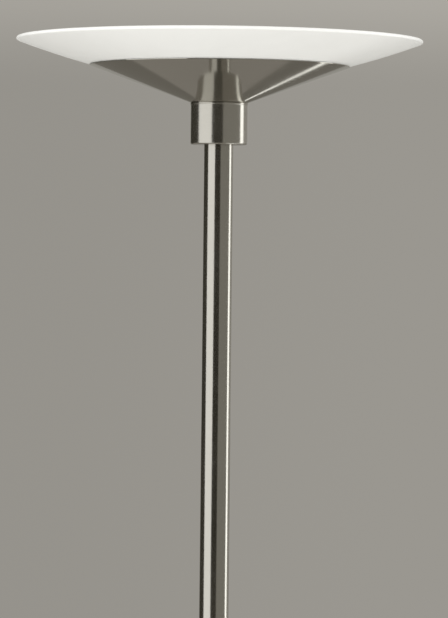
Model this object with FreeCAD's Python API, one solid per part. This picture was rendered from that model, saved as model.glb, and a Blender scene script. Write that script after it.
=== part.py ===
import FreeCAD, Part
import math
import os

# Torchiere floor lamp with a dimmed uplight and a reading light on a swivelling arm.
# Millimetres. Origin: centre of the base on the floor. +Z is up, the arm points along +X,
# the dials face -Y and the cord gland faces +Y.

# ------------------------------------------------------------------ driving dimensions
LAMP_HEIGHT = 1800.0          # floor to the rim of the uplight's glass
GLASS_RADIUS = 176.4          # uplight glass, outside
GLASS_WALL = 3.0
CONE_RIM_RADIUS = 113.0       # where the spun cone meets the glass
COLLAR_RADIUS = 24.75         # collars at both ends of the pole
HEAD_COLLAR_HEIGHT = 36.2
POLE_RADIUS = 12.7
POLE_WALL = 1.5
BASE_RADIUS = 140.0
BASE_HEIGHT = 24.0
HINGE_HEIGHT = 1077.0         # reading arm's hinge above the floor
HINGE_REACH = 33.0            # and out from the pole's axis
ARM_LENGTH = 300.0            # hinge to head pivot
ARM_RAISE = 20.0              # degrees above level, as stored
READING_RADIUS = 60.0         # reading light's glass, outside

# ------------------------------------------------------------------ shared small sizes
FIT = 0.05                    # radial clearance of a running fit
THREAD_FIT = 0.02             # radial clearance of a screwed joint
NIPPLE_RADIUS = 5.0           # M10 hollow thread through the whole pole
NIPPLE_BORE = 3.5
NUT_FLATS = 17.0
NUT_HEIGHT = 5.0
PLUG_LENGTH = 20.0
LEAD_RADIUS = 1.6
SHAFT_RADIUS = 3.0
EDGE = 1.0                    # broken edge on turned metal

ORIGIN = FreeCAD.Vector(0, 0, 0)
X_AXIS = FreeCAD.Vector(1, 0, 0)
Y_AXIS = FreeCAD.Vector(0, 1, 0)
Z_AXIS = FreeCAD.Vector(0, 0, 1)


# ------------------------------------------------------------------ drawing helpers
class Outline:
    """A closed outline in the XZ plane: x is a radius or a width, z is a height."""

    def __init__(self, x, z):
        self.start = (x, z)
        self.here = (x, z)
        self.edges = []

    @staticmethod
    def _at(point):
        return FreeCAD.Vector(point[0], 0, point[1])

    def line(self, *points):
        for point in points:
            self.edges.append(Part.makeLine(self._at(self.here), self._at(point)))
            self.here = point
        return self

    def arc_through(self, middle, end):
        arc = Part.Arc(self._at(self.here), self._at(middle), self._at(end))
        self.edges.append(arc.toShape())
        self.here = end
        return self

    def arc(self, centre, end):
        """The short way round a centre, from where the outline is to the end point."""
        first = (self.here[0] - centre[0], self.here[1] - centre[1])
        last = (end[0] - centre[0], end[1] - centre[1])
        between = (first[0] + last[0], first[1] + last[1])
        scale = math.hypot(*first) / math.hypot(*between)
        middle = (centre[0] + between[0] * scale, centre[1] + between[1] * scale)
        return self.arc_through(middle, end)

    def dome(self, end):
        """Part of a sphere about the Z axis, between its top on the axis and a rim."""
        top, rim = sorted((self.here, end))
        rise = top[1] - rim[1]
        radius = (rim[0] ** 2 + rise ** 2) / (2 * rise)
        return self.arc((0, top[1] - radius), end)

    def face(self):
        if self.here != self.start:
            self.line(self.start)
        return Part.Face(Part.Wire(self.edges))

    def turned(self):
        return self.face().revolve(ORIGIN, Z_AXIS, 360)

    def extruded(self, y_from, y_to):
        flat = self.face()
        flat.translate(FreeCAD.Vector(0, y_from, 0))
        return flat.extrude(FreeCAD.Vector(0, y_to - y_from, 0))


def ring(inner, outer, low, high, edge=0.0):
    """Turned ring or tube whose two outer edges can be broken."""
    outline = Outline(inner, low).line((outer - edge, low))
    if edge:
        outline.line((outer, low + edge), (outer, high - edge))
    outline.line((outer - edge, high), (inner, high))
    return outline.turned()


def rod(radius, low, high):
    return Part.makeCylinder(radius, high - low, FreeCAD.Vector(0, 0, low))


def slab(x_span, y_span, z_span):
    corner = FreeCAD.Vector(x_span[0], y_span[0], z_span[0])
    size = (x_span[1] - x_span[0], y_span[1] - y_span[0], z_span[1] - z_span[0])
    return Part.makeBox(*size, corner)


def hexagon(flats, low, high):
    """Hexagonal prism with two of its flats across X."""
    corner = flats / math.sqrt(3)
    angles = [math.radians(60 * step) for step in range(7)]
    points = [FreeCAD.Vector(corner * math.cos(a), corner * math.sin(a), low) for a in angles]
    return Part.Face(Part.makePolygon(points)).extrude(FreeCAD.Vector(0, 0, high - low))


def nut(flats, hole, low, high):
    """Hexagonal nut whose corners are turned off at both faces."""
    corner = flats / math.sqrt(3)
    turned_off = 0.12 * (high - low)
    barrel = Outline(hole, low).line((flats / 2, low), (corner, low + turned_off),
                                     (corner, high - turned_off), (flats / 2, high),
                                     (hole, high)).turned()
    return barrel.common(hexagon(flats, low, high))


def around(shape, count, first=0.0):
    """Copies of a shape evenly spaced about the Z axis."""
    copies = []
    for step in range(count):
        copy = shape.copy()
        copy.rotate(ORIGIN, Z_AXIS, first + 360.0 * step / count)
        copies.append(copy)
    return copies


def placed(shape, point, direction):
    """A piece drawn about +Z from the origin, moved to a point and pointed along a direction."""
    moved = shape.copy()
    spot = FreeCAD.Placement(point, FreeCAD.Rotation(Z_AXIS, direction))
    moved.Placement = spot.multiply(shape.Placement)
    return moved


# ------------------------------------------------------------------ glass and spun cone
class DishSection:
    """Section of a shallow slumped dish and of the spun cone that carries it.

    Heights are measured from the collar's face towards the dish's open side. The underside is
    a flat middle, a blend and one long bend about a centre beyond the lamp's axis.
    """

    def __init__(self, radius, wall, hole, flat, blend, bend, centre):
        self.wall = wall
        self.hole = hole
        self.flat = flat
        self.bend = bend
        self.centre = centre
        reach = bend - blend
        drop = centre[1] - flat - blend
        self.blend_centre = (centre[0] + math.sqrt(reach ** 2 - drop ** 2), flat + blend)
        self.rim = self.on_bend(radius - wall / 2, bend - wall / 2)

    def on_bend(self, radius, bend):
        offset = radius - self.centre[0]
        return (radius, self.centre[1] - math.sqrt(bend ** 2 - offset ** 2))

    def _beyond(self, start, through, distance):
        run = (through[0] - start[0], through[1] - start[1])
        scale = distance / math.hypot(*run)
        return (start[0] + run[0] * scale, start[1] + run[1] * scale)

    def glass(self):
        inner_bend = self.bend - self.wall
        flat_end = self.blend_centre[0]
        under_join = self._beyond(self.centre, self.blend_centre, self.bend)
        upper_join = self._beyond(self.centre, self.blend_centre, inner_bend)
        rim_low = self._beyond(self.centre, self.rim, self.bend)
        rim_high = self._beyond(self.centre, self.rim, inner_bend)
        half = (rim_low[0] - self.rim[0], rim_low[1] - self.rim[1])
        rim_tip = (self.rim[0] - half[1], self.rim[1] + half[0])
        outline = Outline(self.hole, self.flat).line((flat_end, self.flat))
        outline.arc(self.blend_centre, under_join)
        outline.arc(self.centre, rim_low)
        outline.arc_through(rim_tip, rim_high)
        outline.arc(self.centre, upper_join)
        outline.arc(self.blend_centre, (flat_end, self.flat + self.wall))
        return outline.line((self.hole, self.flat + self.wall)).turned()

    def gasket(self, inner, outer, thickness):
        """Soft ring against the underside of the glass."""
        lower = self.bend + thickness
        outline = Outline(*self.on_bend(inner, self.bend))
        outline.arc(self.centre, self.on_bend(outer, self.bend))
        outline.line(self.on_bend(outer, lower))
        outline.arc(self.centre, self.on_bend(inner, lower))
        return outline.turned()

    def cone(self, foot, rim, sheet, hole, gap, land):
        """Spun cone whose top is cut back to a seat that follows the glass."""
        seat_bend = self.bend + gap
        seat_tip = self.on_bend(rim, seat_bend)
        edge = (rim, seat_tip[1] - land)
        slope = math.atan2(edge[1], edge[0] - foot)
        along = (math.cos(slope), math.sin(slope))
        inner_foot = (foot - sheet * math.tan(slope / 2), sheet)
        offset = (inner_foot[0] - self.centre[0], inner_foot[1] - self.centre[1])
        middle = offset[0] * along[0] + offset[1] * along[1]
        inside = seat_bend ** 2 - math.hypot(*offset) ** 2
        length = -middle - math.sqrt(middle ** 2 + inside)
        seat_end = (inner_foot[0] + along[0] * length, inner_foot[1] + along[1] * length)
        outline = Outline(hole, 0).line((foot, 0), edge, seat_tip)
        outline.arc(self.centre, seat_end)
        return outline.line(inner_foot, (hole, sheet)).turned()


UPLIGHT = DishSection(radius=GLASS_RADIUS, wall=GLASS_WALL, hole=6.0, flat=17.5, blend=120.0,
                      bend=744.0, centre=(-80.8, 751.3))
READING = DishSection(radius=READING_RADIUS, wall=2.5, hole=6.0, flat=4.8, blend=32.0,
                      bend=156.0, centre=(-9.2, 159.0))


# ------------------------------------------------------------------ levels worked out
COLLAR_SEAT = 26.0                                   # pole's depth in the head collar
COLLAR_TOP = LAMP_HEIGHT - UPLIGHT.rim[1] - GLASS_WALL / 2
COLLAR_BOTTOM = COLLAR_TOP - HEAD_COLLAR_HEIGHT
POLE_TOP = COLLAR_BOTTOM + COLLAR_SEAT
POLE_BORE = POLE_RADIUS - POLE_WALL
LOWER_JOINT = 572.0                                  # between lower and middle tube
HOUSING_BOTTOM = 1092.0                              # dimmer housing between two tubes
HOUSING_TOP = 1192.0
HOUSING_RADIUS = 19.0
DIAL_HEIGHTS = {"reading": 1124.0, "uplight": 1160.0}
DIAL_SWEEP = 280.0                                   # degrees from off to full


# ------------------------------------------------------------------ base
WEIGHT_RADIUS = 130.0
WEIGHT_FLOOR = 2.0
PLATE_TOP = 17.0
COVER_WALL = 1.2
SLOT_HALF_WIDTH = 20.0
SLOT_ROOF = 15.5
GLAND_HEIGHT = 9.0
GLAND_START = 131.0
GLAND_BORE = 3.6
DRIVER_FRONT = 32.0


def base_pad():
    return rod(WEIGHT_RADIUS - 2, 0, WEIGHT_FLOOR)


def base_weight():
    """Cast plate with a rim, a centre boss, six ribs, and a slot below for the driver."""
    cover_under = BASE_HEIGHT - COVER_WALL
    recess = 26.0
    boss = 30.0
    rim_inside = WEIGHT_RADIUS - 10
    draft = 2.0
    rib_half = 4.0
    rib_top = 21.0
    casting = Outline(recess, WEIGHT_FLOOR).line(
        (WEIGHT_RADIUS - EDGE, WEIGHT_FLOOR), (WEIGHT_RADIUS, WEIGHT_FLOOR + EDGE),
        (WEIGHT_RADIUS, cover_under - EDGE), (WEIGHT_RADIUS - EDGE, cover_under),
        (rim_inside, cover_under), (rim_inside - draft, PLATE_TOP), (boss + draft, PLATE_TOP),
        (boss, cover_under), (NIPPLE_RADIUS + 0.2, cover_under),
        (NIPPLE_RADIUS + 0.2, PLATE_TOP), (recess, PLATE_TOP)).turned()
    rib = slab((boss - 2, rim_inside), (-rib_half, rib_half), (PLATE_TOP - 1, rib_top))
    slot_back = slab((-SLOT_HALF_WIDTH - 5, SLOT_HALF_WIDTH + 5), (boss - 2, rim_inside),
                     (PLATE_TOP - 1, rib_top))
    slot = slab((-SLOT_HALF_WIDTH, SLOT_HALF_WIDTH), (0, WEIGHT_RADIUS + 1),
                (WEIGHT_FLOOR - 1, SLOT_ROOF))
    return casting.fuse(around(rib, 6) + [slot_back]).cut(slot).removeSplitter()


def base_cover():
    """Spun cover with a rounded shoulder, a centre hole and a hole for the cord gland."""
    shoulder = 8.0
    lip = 1.0
    inside = BASE_RADIUS - COVER_WALL
    turn = (BASE_RADIUS - shoulder, BASE_HEIGHT - shoulder)
    hole = NIPPLE_RADIUS + 0.3
    shell = Outline(hole, BASE_HEIGHT).line((turn[0], BASE_HEIGHT))
    shell.arc(turn, (BASE_RADIUS, turn[1]))
    shell.line((BASE_RADIUS, lip), (inside, lip), (inside, turn[1]))
    shell.arc(turn, (turn[0], BASE_HEIGHT - COVER_WALL))
    shell.line((hole, BASE_HEIGHT - COVER_WALL))
    gland_hole = placed(rod(5.6, 0, 30), FreeCAD.Vector(0, WEIGHT_RADIUS, GLAND_HEIGHT), Y_AXIS)
    return shell.turned().cut(gland_hole)


def cord_gland():
    """Hollow gland whose domed flange bears on the outside of the cover."""
    barrel = 5.4
    flange = 7.5
    back = BASE_RADIUS - GLAND_START
    front = back + 5
    body = Outline(GLAND_BORE, 0).line((barrel, 0), (barrel, back), (flange, back),
                                       (flange, front - 2.5))
    body.arc((flange - 2.5, front - 2.5), (flange - 2.5, front))
    body.line((GLAND_BORE + 0.8, front), (GLAND_BORE, front - 0.8))
    return placed(body.turned(), FreeCAD.Vector(0, GLAND_START, GLAND_HEIGHT), Y_AXIS)


def gland_nut():
    lock = nut(12.0, 5.4 + THREAD_FIT, 3.4, 7.4)
    return placed(lock, FreeCAD.Vector(0, GLAND_START, GLAND_HEIGHT), Y_AXIS)


def led_driver():
    case = slab((-17, 17), (DRIVER_FRONT, 102), (WEIGHT_FLOOR + 0.8, SLOT_ROOF))
    upright = [edge for edge in case.Edges if abs(edge.tangentAt(0).z) > 0.9]
    return case.makeFillet(2.5, upright)


def base_pieces():
    return {
        "base_pad": base_pad(),
        "base_weight": base_weight(),
        "base_cover": base_cover(),
        "base_collar": ring(POLE_RADIUS + FIT, COLLAR_RADIUS, BASE_HEIGHT, BASE_HEIGHT + 10, EDGE),
        "base_washer": ring(NIPPLE_RADIUS + 0.3, 14.0, PLATE_TOP - 1.5, PLATE_TOP),
        "cord_gland": cord_gland(),
        "gland_nut": gland_nut(),
        "led_driver": led_driver(),
    }


# ------------------------------------------------------------------ pole
STUD_BOTTOM = 10.0
CONE_SHEET = 1.5


def tube_plugs():
    """Threaded discs pressed into the tube ends."""
    middle_top = HOUSING_BOTTOM - PLUG_LENGTH
    bottoms = (BASE_HEIGHT, LOWER_JOINT - PLUG_LENGTH, LOWER_JOINT, middle_top, HOUSING_TOP,
               POLE_TOP - PLUG_LENGTH)
    hole = NIPPLE_RADIUS + THREAD_FIT
    radius = POLE_BORE - THREAD_FIT
    return Part.makeCompound([ring(hole, radius, z, z + PLUG_LENGTH) for z in bottoms])


def nipple(low, high):
    return ring(NIPPLE_BORE, NIPPLE_RADIUS, low, high, 0.5)


def joining_nipples():
    overlap = 18.0
    spans = ((LOWER_JOINT - PLUG_LENGTH, LOWER_JOINT + PLUG_LENGTH),
             (HOUSING_BOTTOM - 16, HOUSING_BOTTOM + 22.5),
             (HOUSING_TOP - 22, HOUSING_TOP + overlap))
    return Part.makeCompound([nipple(*span) for span in spans])


def locknuts():
    bottoms = (SLOT_ROOF - NUT_HEIGHT, HOUSING_BOTTOM + CAP_DEPTH,
               HOUSING_TOP - CAP_DEPTH - NUT_HEIGHT, COLLAR_TOP + CONE_SHEET)
    hole = NIPPLE_RADIUS + THREAD_FIT
    nuts = [nut(NUT_FLATS, hole, z, z + NUT_HEIGHT) for z in bottoms]
    return Part.makeCompound(nuts)


def middle_tube():
    """Tube with a side hole through which the arm's leads leave."""
    tube = ring(POLE_BORE, POLE_RADIUS, LOWER_JOINT, HOUSING_BOTTOM)
    hole = placed(rod(3.0, 0, 20), FreeCAD.Vector(0, 0, 1067), X_AXIS)
    return tube.cut(hole)


def pole_lead():
    """Lead from the driver, round one bend and up the hollow threads to the uplight."""
    level = 4.2
    bend = 11.0
    top = COLLAR_TOP + 38
    turn = FreeCAD.Vector(0, bend, level + bend)
    diagonal = bend * math.sqrt(0.5)
    start = FreeCAD.Vector(0, DRIVER_FRONT, level)
    entry = FreeCAD.Vector(0, bend, level)
    middle = turn + FreeCAD.Vector(0, -diagonal, -diagonal)
    rise = FreeCAD.Vector(0, 0, level + bend)
    path = Part.Wire([Part.LineSegment(start, entry).toShape(),
                      Part.Arc(entry, middle, rise).toShape(),
                      Part.LineSegment(rise, FreeCAD.Vector(0, 0, top)).toShape()])
    section = Part.Wire([Part.makeCircle(LEAD_RADIUS, start, Y_AXIS)])
    lead = path.makePipeShell([section], True, False)
    drawn = math.pi * LEAD_RADIUS ** 2 * path.Length
    print("pole_lead bend radius", bend, "volume", round(lead.Volume, 1), "of", round(drawn, 1))
    return lead


def stop_collar():
    """Ring below the swivel, clamped to the pole by one grub screw."""
    body = ring(POLE_RADIUS + THREAD_FIT, 18.0, STOP_BOTTOM, STOP_BOTTOM + STOP_HEIGHT, EDGE)
    return body.cut(placed(rod(2.0, 10, 20), stop_screw_axis(), Y_AXIS))


def stop_screw_axis():
    return FreeCAD.Vector(0, 0, STOP_BOTTOM + STOP_HEIGHT / 2)


def stop_screw():
    body = rod(2.0 - THREAD_FIT, POLE_RADIUS + FIT, 17.6).cut(hexagon(2.0, 15.6, 18))
    return placed(body, stop_screw_axis(), Y_AXIS)


def pole_pieces():
    swivel_washer = 17.5
    washers = [ring(POLE_RADIUS + FIT, swivel_washer, z, z + WASHER_HEIGHT)
               for z in (STOP_BOTTOM + STOP_HEIGHT, HOUSING_BOTTOM - WASHER_HEIGHT)]
    return {
        "lower_tube": ring(POLE_BORE, POLE_RADIUS, BASE_HEIGHT, LOWER_JOINT),
        "middle_tube": middle_tube(),
        "upper_tube": ring(POLE_BORE, POLE_RADIUS, HOUSING_TOP, POLE_TOP),
        "tube_plugs": tube_plugs(),
        "pole_stud": nipple(STUD_BOTTOM, BASE_HEIGHT + 18),
        "joining_nipples": joining_nipples(),
        "locknuts": locknuts(),
        "pole_lead": pole_lead(),
        "stop_collar": stop_collar(),
        "stop_screw": stop_screw(),
        "swivel_washers": Part.makeCompound(washers),
    }


# ------------------------------------------------------------------ dimmer housing
CAP_DEPTH = 18.0              # end face to the locknut's face
CAP_SKIRT = 12.0              # part of the cap that shows
SLEEVE_WALL = 1.8
POT_BACK = 8.4
POT_FRONT = 15.0
BUSHING_RADIUS = 3.5
BUSHING_END = 21.5


def dimmer_cap():
    """End cap, drawn with its outer face at z = 0 and its spigot upwards."""
    skirt = HOUSING_RADIUS
    spigot = HOUSING_RADIUS - SLEEVE_WALL - FIT
    taper = 2.0
    hole = NIPPLE_RADIUS + THREAD_FIT
    return Outline(hole, 0).line((skirt - taper, 0), (skirt, taper), (skirt, CAP_SKIRT),
                                 (spigot, CAP_SKIRT), (spigot, CAP_DEPTH),
                                 (hole, CAP_DEPTH)).turned()


def on_dial(shape, dial):
    """A piece drawn along +Z from the pole's axis, turned to face the front."""
    return placed(shape, FreeCAD.Vector(0, 0, DIAL_HEIGHTS[dial]), -Y_AXIS)


def dimmer_sleeve():
    tube = ring(HOUSING_RADIUS - SLEEVE_WALL, HOUSING_RADIUS, HOUSING_BOTTOM + CAP_SKIRT,
                HOUSING_TOP - CAP_SKIRT)
    holes = [on_dial(rod(BUSHING_RADIUS + 0.2, 10, 25), dial) for dial in DIAL_HEIGHTS]
    return tube.cut(holes)


def dimmer_pot():
    """Round potentiometer with a threaded bushing that its shaft turns in."""
    bore = SHAFT_RADIUS + FIT
    return Outline(0, POT_BACK).line((8.0, POT_BACK), (8.0, POT_FRONT), (BUSHING_RADIUS, POT_FRONT),
                                     (BUSHING_RADIUS, BUSHING_END), (bore, BUSHING_END),
                                     (bore, POT_BACK + 1.4), (0, POT_BACK + 1.4)).turned()


def dial_knob():
    """Fluted knob with a recess that clears the bushing's nut, its index line at off."""
    radius = 9.0
    back = 20.0
    front = 33.0
    recess = 23.5
    bore = SHAFT_RADIUS + THREAD_FIT
    bore_end = 30.5
    crown = 2.0
    body = Outline(6.6, back).line((radius - 0.6, back), (radius, back + 0.6),
                                   (radius, front - crown))
    body.arc((radius - crown, front - crown), (radius - crown, front))
    body.line((0, front), (0, bore_end), (bore, bore_end), (bore, recess), (6.6, recess))
    flute = rod(0.9, back + 2, front + 1)
    flute.translate(FreeCAD.Vector(radius + 0.45, 0, 0))
    index = slab((-0.5, 0.5), (3.0, radius), (front - 0.5, front + 1))
    index.rotate(ORIGIN, Z_AXIS, DIAL_SWEEP / 2)
    return body.turned().cut(around(flute, 18, 10.0) + [index])


def dimmer_pieces():
    bottom_cap = dimmer_cap()
    bottom_cap.translate(FreeCAD.Vector(0, 0, HOUSING_BOTTOM))
    top_cap = dimmer_cap()
    top_cap.rotate(ORIGIN, X_AXIS, 180)
    top_cap.translate(FreeCAD.Vector(0, 0, HOUSING_TOP))
    board = slab((-8, 8), (-POT_BACK, -POT_BACK + 1.6), (1117, 1167))
    bushing_nut = nut(10.0, BUSHING_RADIUS + THREAD_FIT, HOUSING_RADIUS + 0.2, BUSHING_END - 0.3)
    shaft = rod(SHAFT_RADIUS, POT_BACK + 1.6, 30)
    pieces = {
        "dimmer_bottom_cap": bottom_cap,
        "dimmer_sleeve": dimmer_sleeve(),
        "dimmer_top_cap": top_cap,
        "dimmer_board": board,
        "dimmer_pots": Part.makeCompound([on_dial(dimmer_pot(), dial) for dial in DIAL_HEIGHTS]),
        "dimmer_nuts": Part.makeCompound([on_dial(bushing_nut, dial) for dial in DIAL_HEIGHTS]),
    }
    for dial in DIAL_HEIGHTS:
        pieces[dial + "_shaft"] = on_dial(shaft, dial)
        pieces[dial + "_knob"] = on_dial(dial_knob(), dial)
    return pieces


# ------------------------------------------------------------------ uplight
PAN_RADIUS = 70.0
PAN_RING_WALL = 2.0
PAN_THREAD_TOP = 29.5         # this and the next heights are above the head collar's top
PAN_FLOOR = 30.0
PAN_FACE = 33.0
PAN_TOP = 42.0
BOARD_FACE = 34.6
CHIP_RINGS = ((22.0, 6), (38.0, 12), (52.0, 18))
BOARD_SCREW_CIRCLE = 58.0
BOARD_SCREW_RADIUS = 1.5


def head_collar():
    """Collar with a deep seat for the pole and a thin top that the nipple passes."""
    seat = POLE_RADIUS + FIT
    hole = NIPPLE_RADIUS + THREAD_FIT
    low = -HEAD_COLLAR_HEIGHT
    seat_end = low + COLLAR_SEAT
    return Outline(seat, low).line((COLLAR_RADIUS - EDGE, low), (COLLAR_RADIUS, low + EDGE),
                                   (COLLAR_RADIUS, -EDGE), (COLLAR_RADIUS - EDGE, 0), (hole, 0),
                                   (hole, seat_end), (seat, seat_end)).turned()


def led_pan():
    """Cast heat sink: a disc, radial fins below and a threaded boss that clamps the glass."""
    thread = NIPPLE_RADIUS + THREAD_FIT
    lead_hole = LEAD_RADIUS + 0.3
    boss = 9.0
    edge = PAN_RADIUS - PAN_RING_WALL
    fin_half = 0.75
    disc = Outline(thread, 22.0).line(
        (boss, 22.0), (boss, PAN_FLOOR), (edge, PAN_FLOOR), (edge, PAN_FACE),
        (lead_hole, PAN_FACE), (lead_hole, PAN_THREAD_TOP), (thread, PAN_THREAD_TOP)).turned()
    fin = Outline(boss - 1, PAN_FLOOR + 0.5).line((boss - 1, 26.0), (40.0, 26.0), (64.0, 28.0),
                                                  (66.0, PAN_FLOOR + 0.5))
    fins = around(fin.extruded(-fin_half, fin_half), 24)
    return disc.fuse(fins).cut(screw_holes(PAN_FLOOR - 5)).removeSplitter()


def pan_ring():
    """Ring shrunk on the heat sink, with a shelf for the diffuser; the fins stand free below."""
    outer = PAN_RADIUS
    inner = PAN_RADIUS - PAN_RING_WALL
    low = PAN_FLOOR - 2
    shelf = 39.5
    return Outline(inner + THREAD_FIT, low).line(
        (outer - EDGE, low), (outer, low + EDGE), (outer, PAN_TOP), (inner, PAN_TOP),
        (inner, shelf), (outer - 4, shelf), (outer - 4, PAN_FACE),
        (inner + THREAD_FIT, PAN_FACE)).turned()


def screw_holes(low):
    hole = rod(BOARD_SCREW_RADIUS + THREAD_FIT, low, BOARD_FACE + 1)
    hole.translate(FreeCAD.Vector(BOARD_SCREW_CIRCLE, 0, 0))
    return around(hole, 3, 30)


def board_screws():
    screw = Outline(0, PAN_FLOOR + 0.2).line(
        (BOARD_SCREW_RADIUS, PAN_FLOOR + 0.2), (BOARD_SCREW_RADIUS, BOARD_FACE),
        (2.8, BOARD_FACE), (2.8, BOARD_FACE + 1.2), (1.8, BOARD_FACE + 2), (0, BOARD_FACE + 2))
    screw = screw.turned()
    screw.translate(FreeCAD.Vector(BOARD_SCREW_CIRCLE, 0, 0))
    return Part.makeCompound(around(screw, 3, 30))


def chips(rings, face):
    """Square emitters in rings about the axis."""
    half = 1.5
    pieces = []
    for radius, count in rings:
        chip = slab((radius - half, radius + half), (-half, half), (face, face + 0.8))
        pieces += around(chip, count, 180.0 / count)
    return Part.makeCompound(pieces)


def uplight_diffuser():
    """Domed opal cover with a flat edge that the ring clamps."""
    edge = PAN_RADIUS - 2.2
    flat = 65.0
    low = 39.5
    rise = 3.0
    cover = Outline(0, low + rise).dome((flat, low))
    cover.line((edge, low), (edge, PAN_TOP), (flat, PAN_TOP))
    return cover.dome((0, PAN_TOP + rise)).turned()


def diffuser_ring():
    """Spun ring that clips over the pan's edge."""
    lip = 71.5
    return Outline(66.0, PAN_TOP).line((PAN_RADIUS + FIT, PAN_TOP), (PAN_RADIUS + FIT, 39.0),
                                       (lip, 39.0), (lip, PAN_TOP + 1.0), (lip - 1.0, PAN_TOP + 2),
                                       (66.6, PAN_TOP + 2), (66.0, PAN_TOP + 1.4)).turned()


def glass_washers():
    """Soft bush under the glass and washer over it, between nut and pan."""
    hole = NIPPLE_RADIUS + 0.1
    sleeve = 5.8
    glass_top = UPLIGHT.flat + GLASS_WALL
    bush = Outline(hole, CONE_SHEET + NUT_HEIGHT).line(
        (12.0, CONE_SHEET + NUT_HEIGHT), (16.0, UPLIGHT.flat - 3), (16.0, UPLIGHT.flat),
        (sleeve, UPLIGHT.flat), (sleeve, glass_top), (hole, glass_top)).turned()
    return Part.makeCompound([bush, ring(hole, 14.0, glass_top, 22.0)])


def uplight_pieces():
    board = ring(6.0, 64.0, PAN_FACE, BOARD_FACE).cut(screw_holes(PAN_FLOOR))
    pieces = {
        "head_collar": head_collar(),
        "head_nipple": nipple(POLE_TOP - 18 - COLLAR_TOP, PAN_THREAD_TOP - 0.5),
        "head_cone": UPLIGHT.cone(foot=COLLAR_RADIUS, rim=CONE_RIM_RADIUS, sheet=CONE_SHEET,
                                  hole=NIPPLE_RADIUS + 0.3, gap=0.4, land=0.6),
        "rim_gasket": UPLIGHT.gasket(100.0, CONE_RIM_RADIUS - 1.5, 0.4),
        "glass_washers": glass_washers(),
        "glass_dish": UPLIGHT.glass(),
        "led_pan": led_pan(),
        "pan_ring": pan_ring(),
        "led_board": board,
        "led_chips": chips(CHIP_RINGS, BOARD_FACE),
        "board_screws": board_screws(),
        "uplight_diffuser": uplight_diffuser(),
        "diffuser_ring": diffuser_ring(),
    }
    for shape in pieces.values():
        shape.translate(FreeCAD.Vector(0, 0, COLLAR_TOP))
    return pieces


# ------------------------------------------------------------------ swivel and hinge
STOP_BOTTOM = 1052.0
STOP_HEIGHT = 10.0
WASHER_HEIGHT = 1.0
EAR_FACE = 9.85               # outside of the clevis
EAR_GAP = 4.85                # inside of the clevis
EAR_RADIUS = 11.0
TONGUE_HALF = 3.95
PIN_HOLE = SHAFT_RADIUS + FIT


def hinge_point():
    return FreeCAD.Vector(HINGE_REACH, 0, HINGE_HEIGHT)


def across_hinge(shape):
    """A piece drawn along +Z from the hinge, laid along its pin towards the front."""
    return placed(shape, hinge_point(), -Y_AXIS)


def swivel_ring():
    """Ring that turns on the pole, with a clevis and an inner channel for the leads."""
    low = STOP_BOTTOM + STOP_HEIGHT + WASHER_HEIGHT + FIT
    high = HOUSING_BOTTOM - WASHER_HEIGHT - FIT
    bore = POLE_RADIUS + 0.06
    channel = 14.5
    hub = ring(0.0, HOUSING_RADIUS, low, high, EDGE)
    arm = Outline(0, HINGE_HEIGHT - EAR_RADIUS).line((HINGE_REACH, HINGE_HEIGHT - EAR_RADIUS))
    arm.arc_through((HINGE_REACH + EAR_RADIUS, HINGE_HEIGHT), (HINGE_REACH, HINGE_HEIGHT + EAR_RADIUS))
    arm.line((0, HINGE_HEIGHT + EAR_RADIUS))
    gap = slab((HINGE_REACH - EAR_RADIUS, HINGE_REACH + EAR_RADIUS + 1), (-EAR_GAP, EAR_GAP),
               (low, high))
    cuts = [rod(bore, low - 1, high + 1), rod(channel, low + 1.5, low + 7), gap,
            across_hinge(rod(PIN_HOLE, -20, 20))]
    return hub.fuse(arm.extruded(-EAR_FACE, EAR_FACE)).cut(cuts).removeSplitter()


def hinge_bolt():
    """Socket-headed pin: its head bears on the rear ear and the locking knob takes its end."""
    head = 5.5
    head_height = 4.0
    end = 19.5
    bolt = Outline(0, -EAR_FACE - head_height).line(
        (head - 0.5, -EAR_FACE - head_height), (head, -EAR_FACE - head_height + 0.5),
        (head, -EAR_FACE), (SHAFT_RADIUS, -EAR_FACE), (SHAFT_RADIUS, end - 0.5),
        (SHAFT_RADIUS - 0.5, end), (0, end)).turned()
    socket = hexagon(4.0, -EAR_FACE - head_height - 1, -EAR_FACE - 1.5)
    return across_hinge(bolt.cut(socket))


def lock_knob():
    """Six-lobed hand knob on the front end of the hinge pin."""
    back = EAR_FACE + 0.1
    neck = 6.5
    grip = 11.0
    front = 22.0
    bore_end = 19.8
    body = Outline(PIN_HOLE, back).line((neck, back), (neck, back + 2.5), (grip - 1, back + 2.5),
                                        (grip, back + 3.5), (grip, front - 2.0))
    body.arc((grip - 2.0, front - 2.0), (grip - 2.0, front))
    body.line((0, front), (0, bore_end), (PIN_HOLE, bore_end))
    scallop = rod(4.0, back + 2, front + 1)
    scallop.translate(FreeCAD.Vector(grip + 2.4, 0, 0))
    return across_hinge(body.turned().cut(around(scallop, 6, 30)))


def swivel_pieces():
    washer_faces = (-TONGUE_HALF - FIT - 0.8, TONGUE_HALF + FIT)
    washers = [across_hinge(ring(PIN_HOLE, 9.5, face, face + 0.8)) for face in washer_faces]
    return {
        "swivel_ring": swivel_ring(),
        "hinge_bolt": hinge_bolt(),
        "hinge_washers": Part.makeCompound(washers),
        "lock_knob": lock_knob(),
    }


# ------------------------------------------------------------------ reading arm
# Drawn level along +X from the hinge, then raised about it.
ARM_TUBE_RADIUS = 6.0
ARM_TUBE_BORE = 4.8
ARM_TUBE_START = 24.0
TIP_START = 258.0
TIP_END = 282.0
TIP_RADIUS = 7.0
TIP_SCREW = 272.0
PIVOT_TONGUE = 7.5
PIVOT_HALF = 3.0
PIVOT_HOLE = 2.05


def along_arm(shape):
    return placed(shape, ORIGIN, X_AXIS)


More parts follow.
